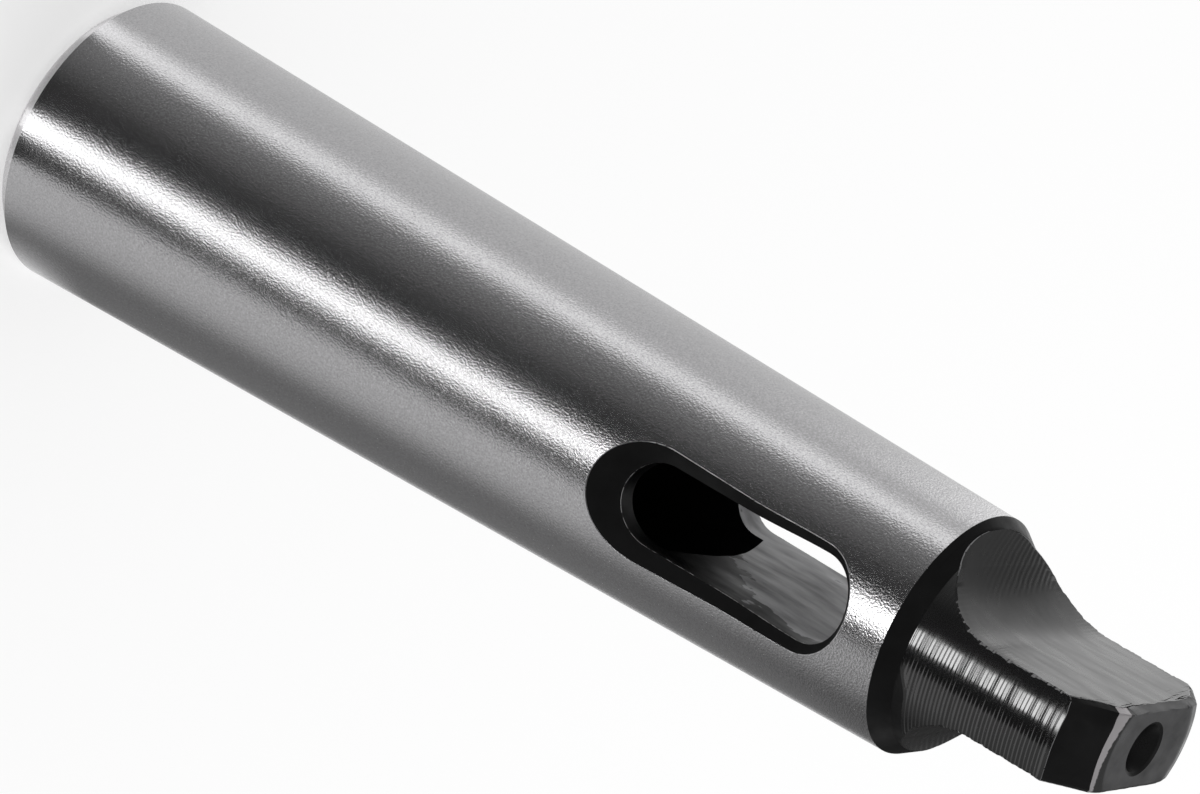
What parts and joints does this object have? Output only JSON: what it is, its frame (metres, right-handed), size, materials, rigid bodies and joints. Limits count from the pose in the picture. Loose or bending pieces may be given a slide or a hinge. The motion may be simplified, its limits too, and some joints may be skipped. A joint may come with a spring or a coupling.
{
  "type": "morse taper sleeve",
  "caption": "One-piece steel reducing sleeve: taper shank outside, smaller taper socket inside, bevelled drift slot through its side and a flat driving tang.",
  "frame": {"origin": "centre of the flat face of the large end", "axes": "+Z along the sleeve's axis towards the tang; X along the drift slot, which is also the wide direction of the tang; Y across the tang's flats"},
  "size_m": [0.0324, 0.0322, 0.14],
  "materials": {
    "taper_sleeve": "ground"
  },
  "bodies": {
    "root": {"taper_sleeve": "taper_sleeve"}
  },
  "joints": []
}
